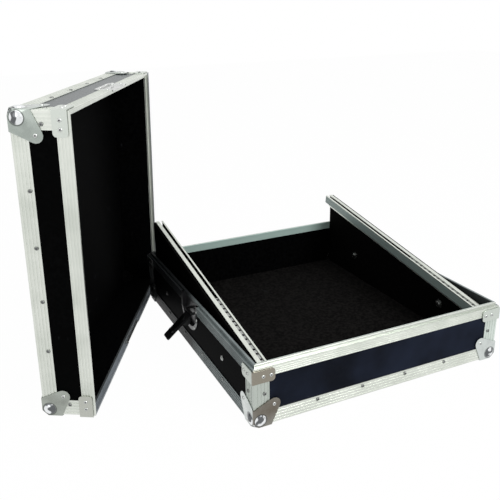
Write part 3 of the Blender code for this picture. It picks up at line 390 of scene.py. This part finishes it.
print("plated steel")
zincLook = {"bright": (0.62, 0.63, 0.62), "dull": (0.44, 0.45, 0.44), "spots": 60, "spotEdge": (0.40, 0.72),
            "scratches": 420, "scratchStretch": (1, 1, 0.2), "scratchEdge": (0.55, 0.8), "scratchShare": 0.3,
            "coarse": 0.26, "metal": 1.0, "sheen": 0.5, "relief": 0.03, "reliefDepth": 0.0004}
chromeLook = dict(
    zincLook, bright=(0.62, 0.66, 0.64), dull=(0.46, 0.49, 0.48), spots=24, coarse=0.12, sheen=0.05,
    warm=(0.115, 0.090, 0.062), ball=(0.82, 0.84, 0.85), ballReach=(0.0171, 0.01725),
    shade=(0.05, 0.055, 0.06), shades=80, shadeEdge=(0.48, 0.56), shadeShare=0.9,
    seam=(0.06, 0.065, 0.065), seamReach=((0.01725, 0.0174), (0.0177, 0.0190)), seamShare=0.8,
    inside=(0.002, 0.002, 0.002), insideDepth=(0.0076, 0.0081))
# painted shade: the lid's plating is a darker copy of the tray's
lidChromeLook = dict(chromeLook, bright=(0.48, 0.53, 0.49), dull=(0.35, 0.39, 0.36))
# painted shade: the tray's latch parts are a much darker copy of the zinc
dishLook = dict(zincLook, bright=(0.11, 0.114, 0.114), dull=(0.045, 0.048, 0.048), coarse=0.24)
# painted reflection: the latch arm is near black, like the black lid it faces
armReflectionLook = dict(zincLook, bright=(0.0060, 0.0060, 0.0066), dull=(0.0030, 0.0030, 0.0034),
                 coarse=0.42, metal=0.0, sheen=0.3)
darkZincLook = dict(zincLook, bright=(0.16, 0.16, 0.165), dull=(0.07, 0.07, 0.075))
rivetLook = dict(zincLook, bright=(0.60, 0.62, 0.60), spots=300)
dullRivetLook = dict(rivetLook, bright=(0.26, 0.27, 0.26), dull=(0.12, 0.125, 0.12))


def plated(name, slotName, ofLid, look):
    # zinc, chrome, or the latch arm's near-black painted reflection, cloudy and finely scratched
    made = Finish(name, slotName, ofLid)
    cloud = made.noise(look["spots"], 4.0, 0.6)
    fine = made.noise(look["scratches"], 3.0, 0.6, look["scratchStretch"])
    tone = made.mix(cloud.steps(*look["spotEdge"]), look["bright"], look["dull"])
    tone = made.mix(fine.steps(*look["scratchEdge"]) * look["scratchShare"], tone, look["dull"])
    rough = look["coarse"] + cloud * 0.08 + fine * 0.05
    metal = look["metal"]
    if "ball" in look:
        # painted reflection of dark patches on the bright ball, and painted shade in a dark seam where it
        # leaves the plates
        tone = made.mix(made.warmthAndShade() * (0.7 + cloud * 0.4), tone, look["warm"])
        reach = made.ballDistance()
        paintedReflection = made.noise(look["shades"], 1.0, 0.45).steps(*look["shadeEdge"])
        ball = made.mix(paintedReflection * look["shadeShare"], look["ball"], look["shade"])
        tone = made.mix(reach.steps(*look["ballReach"], 1.0, 0.0), tone, ball)
        tone = made.mix(reach.between(*look["seamReach"]) * look["seamShare"], tone, look["seam"])
        # no plating on the faces turned into the box
        inside = made.depth().steps(*look["insideDepth"])
        tone = made.mix(inside, tone, look["inside"])
        rough = rough + inside * 0.5
        metal = 1.0 - inside
    # painted shadow of the lid on the tray's plating at the rear of its left side
    if not ofLid and look["metal"]:
        tone, metal = made.paintLidShadow(tone, metal)
    made.set(Base_Color=tone, Roughness=rough, Metallic=metal, Specular_IOR_Level=look["sheen"],
             Normal=made.bump(fine * 0.5 + cloud * 0.5, look))
    return made


# maker, end of the material's name, slot, and the direction in which an extrusion was drawn
kinds = {
    "panel": (laminate, "laminate", "panel_laminate", {}),
    "sidePanel": (laminate, "side_laminate", "panel_laminate", {}),
    "acrossX": (aluminium, "aluminium_x", "extrusion_aluminium", {"stretch": (0.008, 1, 1)}),
    "acrossY": (aluminium, "aluminium_y", "extrusion_aluminium", {"stretch": (1, 0.008, 1)}),
    "upright": (aluminium, "aluminium_z", "extrusion_aluminium", {"stretch": (1, 1, 0.008)}),
    "chrome": (plated, "chrome", "corner_chrome", {}),
    "zinc": (plated, "zinc", "latch_zinc", {}),
}
looksOf = {
    "tray": {"panel": laminateLook, "sidePanel": sideLaminateLook, "acrossX": rimLook, "acrossY": shadedSideLook,
             "upright": uprightLook, "chrome": chromeLook, "zinc": dishLook},
    "lid": {"panel": lidLaminateLook, "sidePanel": lidLaminateLook, "acrossX": aluminiumLook,
            "acrossY": aluminiumLook, "upright": aluminiumLook, "chrome": lidChromeLook, "zinc": zincLook},
}
finishes = {}
for part, looks in looksOf.items():
    finishes[part] = {}
    for kind, (maker, ending, slotName, drawing) in kinds.items():
        look = dict(looks[kind], **drawing)
        finishes[part][kind] = maker(f"{part}_{ending}", slotName, part == "lid", look)
floorLaminate = laminate("floor_laminate", "panel_laminate", False, floorLaminateLook)
board = laminate("board_laminate", "board_laminate", False, boardLook)
railMetal = aluminium("rail_aluminium", "rail_aluminium", False, dict(railLook, stretch=(1, 0.02, 1)))
armReflection = plated("latch_black", "latch_black_steel", False, armReflectionLook)
shadedLowRim = aluminium("lid_low_aluminium_shaded", "extrusion_aluminium", True, dict(shadedLowLook, stretch=(1, 0.008, 1)))
darkZinc = plated("bolt_steel", "latch_zinc", False, darkZincLook)
rivetMetal = plated("rivet_steel", "latch_zinc", False, rivetLook)
dullRivet = plated("rivet_dull_steel", "latch_zinc", False, dullRivetLook)


def paint(piece, finish):
    piece.data.materials.clear()
    piece.data.materials.append(finish.material)


for name, node in nodes.items():
    looks = finishes["lid" if name.startswith("lid_") else "tray"]
    if name == "base_bottom_panel":
        finish = floorLaminate
    elif "_panel" in name:
        finish = looks["sidePanel" if name.endswith(("left_panel", "right_panel")) else "panel"]
    elif "rack_board" in name:
        finish = board
    elif "rack_rail" in name:
        finish = railMetal
    elif "ball_corner" in name:
        finish = looks["chrome"]
    elif "corner_edge" in name:
        finish = looks["upright"]
    # painted shade on the lid's lowest rim
    elif name == "lid_rim_left":
        finish = shadedLowRim
    elif "_edge_" in name or "_rim_" in name:
        finish = looks["acrossX" if name.endswith(wallsAlongX) else "acrossY"]
    # painted reflection of the black lid on the latch arm
    elif name.endswith("latch_arm"):
        finish = armReflection
    else:
        finish = looks["zinc"]
    paint(node, finish)


def deselectAll():
    bpy.ops.object.select_all(action="DESELECT")


def take(piece):
    deselectAll()
    piece.select_set(True)
    bpy.context.view_layer.objects.active = piece
    return piece


def selectTop(piece):
    # choose the upper faces in edit mode
    bpy.ops.mesh.select_all(action="DESELECT")
    bpy.ops.object.mode_set(mode="OBJECT")
    for face in piece.data.polygons:
        face.select = face.normal.z > 0.9
    bpy.ops.object.mode_set(mode="EDIT")


def raiseTop(height, narrow=1.0):
    # extrude the chosen faces upwards, or downwards for a bore, and narrow them
    bpy.ops.mesh.extrude_region_move(TRANSFORM_OT_translate={"value": (0, 0, height)})
    if narrow != 1.0:
        bpy.ops.transform.resize(value=(narrow, narrow, 1), center_override=(0, 0, 0))


def addCylinder(sides, radius, height, foot):
    # a cylinder standing at the level of its foot, moved in its own mesh
    deselectAll()
    bpy.ops.mesh.primitive_cylinder_add(vertices=sides, radius=radius, depth=height,
                                        location=(0, 0, foot + height / 2))
    made = take(bpy.context.object)
    bpy.ops.object.transform_apply(location=True)
    return made


def soften(piece, width):
    bevel = piece.modifiers.new("edge", "BEVEL")
    bevel.width, bevel.segments = width, 2
    bpy.ops.object.modifier_apply(modifier=bevel.name)


def finishPiece(piece, name, finish, body, angle):
    take(piece)
    bpy.ops.object.transform_apply(location=True, rotation=True, scale=True)
    bpy.ops.object.mode_set(mode="EDIT")
    bpy.ops.mesh.select_all(action="SELECT")
    bpy.ops.mesh.remove_doubles(threshold=weldDistance)
    bpy.ops.mesh.normals_make_consistent(inside=False)
    bpy.ops.object.mode_set(mode="OBJECT")
    bpy.ops.object.shade_smooth_by_angle(angle=math.radians(angle))
    piece.name = piece.data.name = name
    paint(piece, finish)
    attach(piece, body)


def copyOf(piece, place):
    deselectAll()
    double = piece.copy()
    double.data = piece.data.copy()
    bpy.context.scene.collection.objects.link(double)
    double.data.transform(place)
    return double


def joined(pieces):
    deselectAll()
    for piece in pieces:
        piece.select_set(True)
    bpy.context.view_layer.objects.active = pieces[0]
    bpy.ops.object.join()
    return bpy.context.view_layer.objects.active


def throwAway(piece):
    bpy.data.objects.remove(piece, do_unlink=True)


print("rivets")
rivet = {"radius": 0.0034, "height": 0.00135, "sides": 14, "sunk": 0.0002, "foot": 0.45,
         "rolls": ((0.45, 0.92), (0.80, 0.90), (1.0, 0.84)), "dimple": 0.0014, "hole": 0.0015, "taper": 0.9,
         "stubWidth": 0.94, "stubSunk": 0.2, "stubEdge": 0.22, "smooth": 50}


def makeRivet(settings):
    # a flat round head with a rolled edge and the small hole its mandrel leaves
    radius, height, foot = settings["radius"], settings["height"], settings["height"] * settings["foot"]
    head = addCylinder(settings["sides"], radius, foot, -settings["sunk"])
    bpy.ops.object.mode_set(mode="EDIT")
    selectTop(head)
    top = level = foot - settings["sunk"]
    for rise, narrow in settings["rolls"]:
        risen = top + (height - top) * rise
        raiseTop(risen - level, narrow)
        radius, level = radius * narrow, risen
    bpy.ops.mesh.inset(thickness=radius - settings["hole"])
    raiseTop(-settings["dimple"], settings["taper"])
    bpy.ops.object.mode_set(mode="OBJECT")
    return head


def makeStub(settings):
    # the dark end of the mandrel that stays in the rivet's hole, with a worn rim
    radius = settings["hole"] * settings["stubWidth"]
    rise = settings["height"] - settings["dimple"] * settings["stubSunk"]
    stub = addCylinder(settings["sides"], radius, rise, -settings["sunk"])
    soften(stub, radius * settings["stubEdge"])
    return stub


rivetHead = makeRivet(rivet)
rivetStub = makeStub(rivet)

edgeRivets = {
    "fromArris": 0.0200,
    "xPlaces": (-0.141, -0.047, 0.047, 0.139), "yPlaces": (-0.1475, -0.044, 0.0595, 0.163),
    "fromCorner": 0.0210, "trayCornerHeight": 0.0615, "lidCornerHeight": 0.0480,
    "trayBrace": (0.0180, 0.0325), "lidBrace": (0.0145, 0.0285), "braceLevel": 0.0155,
    "trayRise": 0.0, "lidRise": -0.0002, "tab": 0.0380}


def rivetSpots(part):
    # places of all rivets of the tray or the lid in its own axes, each with outwards as Z
    spots = {"edge": [], "corner": [], "brace": [], "ball": []}
    fromArris, tab = edgeRivets["fromArris"], edgeRivets["tab"]
    braceHeight = case[f"{part}Height"] - edgeRivets["braceLevel"]
    braceFace = case["braceFace"] + edgeRivets[f"{part}Rise"]
    for side in wallTurns:
        wall, half = wallAxes(side), halfLength(side)
        for place in edgeRivets["xPlaces" if side in wallsAlongX else "yPlaces"]:
            spots["edge"].append(wall @ Matrix.Translation((place, fromArris, 0)))
            spots["edge"].append(wall @ axesAt((place, 0, -fromArris), (1, 0, 0), (0, 0, 1)))
        for end in (-1, 1):
            spots["corner"].append(wall @ Matrix.Translation((
                end * (half - edgeRivets["fromCorner"]), edgeRivets[f"{part}CornerHeight"], 0)))
            for place in edgeRivets[f"{part}Brace"]:
                spots["brace"].append(wall @ Matrix.Translation((
                    end * (half - place), braceHeight, braceFace)))
            spots["ball"].append(wall @ Matrix.Translation((end * (half - tab), tab, case["plateFace"])))
    for corner in cornerTurns:
        below = axesAt((tab, tab, -case["plateFace"]), (1, 0, 0), (0, -1, 0))
        spots["ball"].append(cornerAxes(corner) @ below)
    return spots


for part, body, place in (("tray", "base", trayPlace), ("lid", "lid", lidPlace)):
    for kind, spots in rivetSpots(part).items():
        headFinish = dullRivet if kind in ("edge", "corner") else rivetMetal
        for shape, ending, finish in ((rivetHead, "rivets", headFinish),
                                      (rivetStub, "rivet_stubs", darkZinc)):
            copies = [copyOf(shape, place @ spot) for spot in spots]
            finishPiece(joined(copies), f"{body}_{kind}_{ending}", finish, body, rivet["smooth"])

print("latch rivets")
latch = {"place": 0.0105, "sheetFace": 0.0002, "size": 0.80,
         "dish": ((0.0425, 0.012), (0.0425, 0.030), (0.0278, 0.0540)),
         "catch": ((0.0520, 0.010), (0.0520, 0.026), (0.0200, 0.0318))}
for body, place, spots, height, turn in (("base", trayPlace, latch["dish"], case["trayHeight"], 1),
                                         ("lid", lidPlace, latch["catch"], case["lidHeight"], -1)):
    for side, sign in (("left", -1), ("right", 1)):
        heads = []
        for across, drop in spots:
            for end in (-1, 1):
                spot = wallAxes(side) @ Matrix.Translation((
                    turn * sign * latch["place"] + end * across, height - drop, -latch["sheetFace"]))
                heads.append(copyOf(rivetHead, place @ spot @ Matrix.Scale(latch["size"], 4)))
        finishPiece(joined(heads), f"{body}_{side}_latch_rivets", rivetMetal, body, rivet["smooth"])
throwAway(rivetHead)
throwAway(rivetStub)

print("board bolts")
bolt = {"places": (-0.1605, 0.1605), "level": 0.063, "boardFace": 0.0252,
        "washer": 0.0085, "washerHeight": 0.0010, "washerSides": 24, "washerEdge": 0.0002,
        "head": 0.0056, "headHeight": 0.0034, "straight": 0.8, "overlap": 0.0001, "crown": 0.84,
        "socket": 0.0021, "depth": 0.0022, "smooth": 40}


def makeBolt(settings, sides):
    # a head of that many sides on a round washer, with a socket or a bore in its top
    washer = addCylinder(settings["washerSides"], settings["washer"], settings["washerHeight"], 0.0)
    soften(washer, settings["washerEdge"])
    straight = settings["headHeight"] * settings["straight"]
    head = addCylinder(sides, settings["head"], straight, settings["washerHeight"] - settings["overlap"])
    bpy.ops.object.mode_set(mode="EDIT")
    selectTop(head)
    raiseTop(settings["headHeight"] - straight, settings["crown"])
    bpy.ops.mesh.inset(thickness=settings["head"] * settings["crown"] - settings["socket"])
    raiseTop(-settings["depth"])
    bpy.ops.object.mode_set(mode="OBJECT")
    return joined([washer, head])


for kind, sides, depth, turn, size, finish in (("bolts", 20, case["panelOuter"], 0, 0.55, rivetMetal),
                                               ("nuts", 6, bolt["boardFace"], 180, 1.2, dullRivet)):
    shape = makeBolt(bolt, sides)
    turned = Matrix.Rotation(math.radians(turn), 4, "X") @ Matrix.Scale(size, 4)
    pieces = []
    for side in ("left", "right"):
        for place in bolt["places"]:
            spot = wallAxes(side) @ Matrix.Translation((place, bolt["level"], -depth))
            pieces.append(copyOf(shape, trayPlace @ spot @ turned))
    finishPiece(joined(pieces), f"board_{kind}", finish, "base", bolt["smooth"])
    throwAway(shape)

print("strip holes")
collar = {"units": 5, "unit": 0.04445, "pitches": (0.00635, 0.015875, 0.015875), "start": 0.0023,
          "inward": 0.03245, "front": -0.2850, "low": 0.1010, "slope": 9.1195,
          "outer": 0.0033, "inner": 0.0023, "flat": 0.5, "aroundHole": 20, "aroundRoll": 6, "smooth": 40}


def makeCollar(settings):
    # the rolled edge of a threaded hole, lying on the strip
    deselectAll()
    middle = (settings["outer"] + settings["inner"]) / 2
    bpy.ops.mesh.primitive_torus_add(
        major_segments=settings["aroundHole"], minor_segments=settings["aroundRoll"],
        major_radius=middle, minor_radius=settings["outer"] - middle)
    ring = take(bpy.context.object)
    bpy.ops.transform.resize(value=(1, 1, settings["flat"]), center_override=(0, 0, 0))
    bpy.ops.object.transform_apply(scale=True)
    return ring


ringShape = makeCollar(collar)
slope = Matrix.Rotation(math.radians(collar["slope"]), 4, "X")
for side, sign in (("left", -1), ("right", 1)):
    inward = sign * (case["halfWidth"] - collar["inward"])
    start = trayPlace @ Matrix.Translation((inward, collar["front"], collar["low"])) @ slope
    rings = []
    for unit in range(collar["units"]):
        reach = collar["start"] + unit * collar["unit"]
        for pitch in collar["pitches"]:
            reach += pitch
            rings.append(copyOf(ringShape, start @ Matrix.Translation((0, reach, 0))))
    finishPiece(joined(rings), f"rail_hole_rims_{side}", darkZinc, "base", collar["smooth"])
throwAway(ringShape)

print("ball corners")
ballCorner = {"radius": 0.0170, "segments": 40, "rings": 20, "shrink": 0.955, "outside": 0.0001,
              "flatAngle": 1, "block": 0.1, "smooth": 30}


def makeBallCorner(settings):
    # the pressed plates of the solid, and a true round ball in place of its flat-faced one
    ofSolid = cornerAxes("front_left").inverted() @ trayPlace.inverted()
    plates = copyOf(nodes["base_ball_corner_front_left"], ofSolid)
    plates.parent = None
    plates.matrix_world = Matrix()
    for key in list(plates.keys()):
        if key.startswith("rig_"):
            del plates[key]
    take(plates)
    bpy.ops.object.mode_set(mode="EDIT")
    bpy.ops.mesh.select_all(action="SELECT")
    bpy.ops.mesh.remove_doubles(threshold=weldDistance)
    bpy.ops.mesh.dissolve_limited(angle_limit=math.radians(settings["flatAngle"]))
    bpy.ops.mesh.select_all(action="DESELECT")
    bpy.ops.object.mode_set(mode="OBJECT")
    # the solid's own ball shrinks until the round one covers it
    for vertex in plates.data.vertices:
        vertex.select = min(vertex.co) < -case["plateFace"] - settings["outside"]
    middle = (case["ballInset"],) * 3
    bpy.ops.object.mode_set(mode="EDIT")
    bpy.ops.transform.resize(value=(settings["shrink"],) * 3, center_override=middle)
    bpy.ops.object.mode_set(mode="OBJECT")
    deselectAll()
    bpy.ops.mesh.primitive_uv_sphere_add(segments=settings["segments"], ring_count=settings["rings"],
                                         radius=settings["radius"], location=middle)
    ball = take(bpy.context.object)
    bpy.ops.object.transform_apply(location=True)
    # a block takes away the part of the ball that would stand inside the box
    bpy.ops.mesh.primitive_cube_add(size=settings["block"],
                                    location=(case["panelInner"] + settings["block"] / 2,) * 3)
    inside = bpy.context.object
    for target, tool, action in ((ball, inside, "DIFFERENCE"), (plates, ball, "UNION")):
        take(target)
        modifier = target.modifiers.new(action.lower(), "BOOLEAN")
        modifier.operation, modifier.object = action, tool
        bpy.ops.object.modifier_apply(modifier=modifier.name)
    throwAway(inside)
    throwAway(ball)
    return plates


cornerShape = makeBallCorner(ballCorner)
for corner in cornerTurns:
    for body, part, place, named in (("base", "tray", trayPlace, corner),
                                     ("lid", "lid", lidPlace, lidNames[corner])):
        piece = copyOf(cornerShape, place @ cornerAxes(corner))
        chrome = finishes[part]["chrome"]
        finishPiece(piece, f"{body}_round_corner_{named}", chrome, body, ballCorner["smooth"])
        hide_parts(f"{body}_ball_corner_{named}")
throwAway(cornerShape)

print("stage")
stage = {"floorSize": 14.0, "floorDrop": 0.0002, "floorTone": 0.86, "floorCoarse": 0.9, "floorSheen": 0.1,
         "skyLight": 0.42, "glow": 0.985}
white = (1, 1, 1, 1)


def makeFloor(settings):
    # a matt floor that looks as white as the world behind it
    deselectAll()
    bpy.ops.mesh.primitive_plane_add(size=settings["floorSize"],
                                     location=(0, 0, floorLevel - settings["floorDrop"]))
    floor = bpy.context.object
    floor.name = "studio_floor"
    made = Finish("studio_floor", "")
    tone = settings["floorTone"]
    made.set(Base_Color=(tone, tone, tone, 1.0), Roughness=settings["floorCoarse"],
             Specular_IOR_Level=settings["floorSheen"])
    glow = made.node("ShaderNodeEmission", {}, {"Color": white, "Strength": 1.0})
    matt = Wire(made, made.shader.outputs[0])
    factor = made.directRays() * settings["glow"]
    surface = made.node("ShaderNodeMixShader", {}, {0: factor, 1: matt, 2: glow})
    made.join(surface, made.tree.nodes["Material Output"].inputs[0])
    paint(floor, made)


def makeWorld(settings):
    # white where it is seen or mirrored, and weaker as a light
    world = bpy.data.worlds.new("studio")
    bpy.context.scene.world = world
    world.use_nodes = True
    sky = Graph(world.node_tree)
    background = sky.tree.nodes["Background"]
    strength = sky.node("ShaderNodeMapRange", {}, {
        "Value": sky.directRays(), "To Min": settings["skyLight"], "To Max": 1.0})
    sky.join(strength, background.inputs["Strength"])
    sky.join(white, background.inputs["Color"])


makeFloor(stage)
makeWorld(stage)

lampAim = (-0.1, 0.0, 0.1)
lamps = {
    "key": {"from": (0.9, -2.6, 1.9), "size": 1.4, "power": 68},
    "fill": {"from": (-2.4, -1.6, 1.4), "size": 2.0, "power": 12},
    "top": {"from": (-0.1, 0.2, 2.8), "size": 1.8, "power": 15},
}
for name, lamp in lamps.items():
    light = bpy.data.lights.new(name, "AREA")
    light.shape = "DISK"
    light.size = lamp["size"]
    light.energy = lamp["power"]
    holder = bpy.data.objects.new(name, light)
    bpy.context.scene.collection.objects.link(holder)
    holder.location = lamp["from"]
    holder.rotation_euler = (Vector(lampAim) - Vector(lamp["from"])).to_track_quat("-Z", "Y").to_euler()

view = {"place": (-0.6370, -1.1098, 0.6581), "yaw": 24.575, "down": 20.740, "roll": -1.166,
        "lens": 45.684, "sensor": 36.0, "near": 0.05}


def makeCamera(settings):
    turn, down, roll = (math.radians(settings[key]) for key in ("yaw", "down", "roll"))
    ahead = Vector((math.sin(turn) * math.cos(down), math.cos(turn) * math.cos(down), -math.sin(down)))
    right = Vector((math.cos(turn), -math.sin(turn), 0.0))
    above = right.cross(ahead)
    rightTurned = right * math.cos(roll) + above * math.sin(roll)
    aboveTurned = above * math.cos(roll) - right * math.sin(roll)
    camera = bpy.data.objects.new("camera", bpy.data.cameras.new("camera"))
    bpy.context.scene.collection.objects.link(camera)
    camera.data.sensor_width = settings["sensor"]
    camera.data.lens = settings["lens"]
    camera.data.clip_start = settings["near"]
    camera.matrix_world = axesAt(settings["place"], rightTurned, aboveTurned)
    bpy.context.scene.camera = camera


makeCamera(view)
bpy.context.scene.view_settings.view_transform = "Standard"
